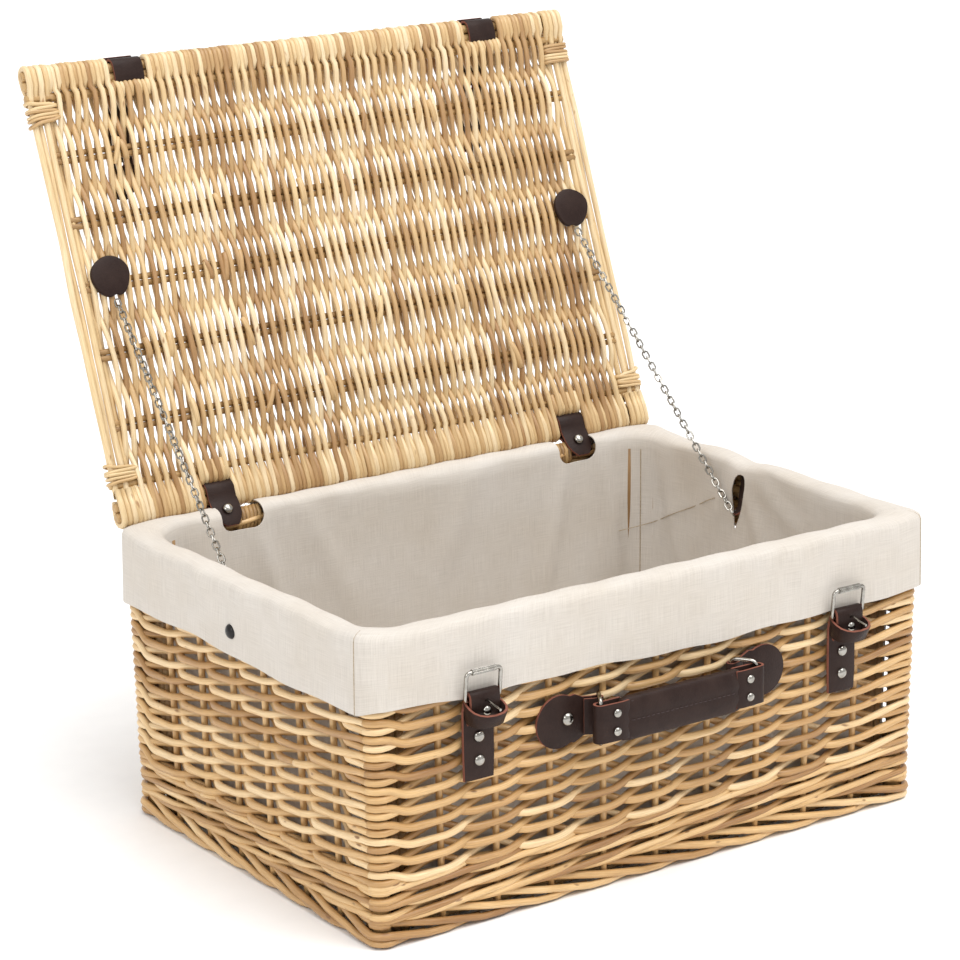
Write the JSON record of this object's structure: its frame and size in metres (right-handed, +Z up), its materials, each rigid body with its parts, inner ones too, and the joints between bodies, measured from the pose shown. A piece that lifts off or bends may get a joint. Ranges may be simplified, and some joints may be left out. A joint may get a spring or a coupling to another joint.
{
  "type": "lidded willow hamper",
  "caption": "Open-topped willow hamper with a hinged woven lid, calico liner, side chains, leather hinges, buckled closing straps and a leather carrying handle.",
  "frame": {"origin": "centre of the basket's underside, on the ground", "axes": "+Z up; -Y towards the front wall with the handle and buckles; +X along the long side, to the right as seen from the front"},
  "size_m": [0.5256, 0.5187, 0.5734],
  "materials": {
    "willow": "buff willow rods, semi-gloss",
    "pale_willow": "peeled white willow rods, satin",
    "brown_leather": "dark brown smooth leather with raw red-brown edges",
    "nickel": "bright nickel plate",
    "calico": "unbleached plain-weave cotton calico"
  },
  "bodies": {
    "basket": {"base_weave": "willow", "foot_border": "willow", "wall_weave": "willow", "rim_border": "willow", "corner_post_front_left": "willow", "corner_post_front_right": "willow", "corner_post_back_left": "willow", "corner_post_back_right": "willow", "liner": "calico", "snap_left": "nickel", "chain_anchor_left": "brown_leather", "hinge_strap_left": "nickel", "hinge_rivet_left": "nickel", "buckle_strap_left": "brown_leather", "buckle_rivet_top_left": "nickel", "buckle_rivet_bottom_left": "nickel", "keeper_left": "brown_leather", "handle_tab_left": "brown_leather", "handle_sleeve_left": "brown_leather", "handle_rivet_left": "nickel", "snap_right": "nickel", "chain_anchor_right": "brown_leather", "hinge_strap_right": "nickel", "hinge_rivet_right": "nickel", "buckle_strap_right": "brown_leather", "buckle_rivet_top_right": "nickel", "buckle_rivet_bottom_right": "nickel", "keeper_right": "brown_leather", "handle_tab_right": "brown_leather", "handle_sleeve_right": "brown_leather", "handle_rivet_right": "nickel"},
    "lid": {"lid_panel": "pale_willow", "lid_back_stick": "pale_willow", "lid_front_stick": "pale_willow", "lid_side_left": "pale_willow", "lid_side_right": "pale_willow", "binding_front_left": "pale_willow", "binding_front_right": "pale_willow", "binding_back_left": "pale_willow", "binding_back_right": "pale_willow", "chain_disc_left": "brown_leather", "chain_disc_right": "brown_leather", "strap_loop_left": "brown_leather", "strap_loop_right": "brown_leather"},
    "handle": {"handle_grip": "brown_leather", "handle_end_left": "brown_leather", "handle_end_right": "brown_leather"},
    "closing_strap_left": {"closing_strap_left": "brown_leather"},
    "buckle_left": {"buckle_frame_left": "nickel"},
    "prong_left": {"buckle_prong_left": "nickel"},
    "ring_left": {"handle_ring_left": "nickel"},
    "chain_upper_left": {"chain_upper_left": "nickel"},
    "chain_lower_left": {"chain_lower_left": "nickel"},
    "closing_strap_right": {"closing_strap_right": "brown_leather"},
    "buckle_right": {"buckle_frame_right": "nickel"},
    "prong_right": {"buckle_prong_right": "nickel"},
    "ring_right": {"handle_ring_right": "nickel"},
    "chain_upper_right": {"chain_upper_right": "nickel"},
    "chain_lower_right": {"chain_lower_right": "nickel"}
  },
  "joints": [
    {"name": "lid_hinge", "type": "hinge", "parent": "basket", "child": "lid", "pos_m": [0, 0.1785, 0.2395], "axis": [1, 0, 0], "range_deg": [0, 110.3]},
    {"name": "chain_top_left", "type": "hinge", "parent": "lid", "child": "chain_upper_left", "pos_m": [-0.222, 0.22735, 0.3985], "axis": [1, 0, 0], "range_deg": [-14, 1]},
    {"name": "chain_bend_left", "type": "hinge", "parent": "chain_upper_left", "child": "chain_lower_left", "pos_m": [-0.22787, 0.11591, 0.28195], "axis": [1, 0, 0], "range_deg": [-171, 1]},
    {"name": "chain_top_right", "type": "hinge", "parent": "lid", "child": "chain_upper_right", "pos_m": [0.222, 0.22735, 0.3985], "axis": [1, 0, 0], "range_deg": [-14, 1]},
    {"name": "chain_bend_right", "type": "hinge", "parent": "chain_upper_right", "child": "chain_lower_right", "pos_m": [0.22787, 0.11591, 0.28195], "axis": [1, 0, 0], "range_deg": [-171, 1]},
    {"name": "closing_strap_bend_left", "type": "hinge", "parent": "lid", "child": "closing_strap_left", "pos_m": [-0.1665, 0.31184, 0.56861], "axis": [1, 0, 0], "range_deg": [-10, 215]},
    {"name": "closing_strap_bend_right", "type": "hinge", "parent": "lid", "child": "closing_strap_right", "pos_m": [0.1725, 0.31184, 0.56861], "axis": [1, 0, 0], "range_deg": [-10, 215]},
    {"name": "buckle_hinge_left", "type": "hinge", "parent": "basket", "child": "buckle_left", "pos_m": [-0.1665, -0.1822, 0.175], "axis": [1, 0, 0], "range_deg": [-6, 74]},
    {"name": "prong_hinge_left", "type": "hinge", "parent": "basket", "child": "prong_left", "pos_m": [-0.1665, -0.1822, 0.175], "axis": [1, 0, 0], "range_deg": [-78, 0]},
    {"name": "buckle_hinge_right", "type": "hinge", "parent": "basket", "child": "buckle_right", "pos_m": [0.1725, -0.1822, 0.1695], "axis": [1, 0, 0], "range_deg": [-6, 74]},
    {"name": "prong_hinge_right", "type": "hinge", "parent": "basket", "child": "prong_right", "pos_m": [0.1725, -0.1822, 0.1695], "axis": [1, 0, 0], "range_deg": [-78, 0]},
    {"name": "handle_slide", "type": "slide", "parent": "basket", "child": "handle", "axis": [0, -1, 0], "range_m": [-0.0022, 0.0015]},
    {"name": "ring_hinge_left", "type": "hinge", "parent": "basket", "child": "ring_left", "pos_m": [-0.062, -0.179, 0.14], "axis": [0, 0, 1], "range_deg": [-12.5, 8.6]},
    {"name": "ring_hinge_right", "type": "hinge", "parent": "basket", "child": "ring_right", "pos_m": [0.062, -0.179, 0.14], "axis": [0, 0, 1], "range_deg": [-8.6, 12.5]}
  ],
  "couplings": [
    {"joint": "chain_top_left", "follows": "lid_hinge", "ratio": -0.114},
    {"joint": "chain_bend_left", "follows": "lid_hinge", "ratio": -1.5361},
    {"joint": "chain_top_right", "follows": "lid_hinge", "ratio": -0.114},
    {"joint": "chain_bend_right", "follows": "lid_hinge", "ratio": -1.5361},
    {"joint": "ring_hinge_left", "follows": "handle_slide", "rad_per_m": 95.2},
    {"joint": "ring_hinge_right", "follows": "handle_slide", "rad_per_m": -95.2}
  ]
}
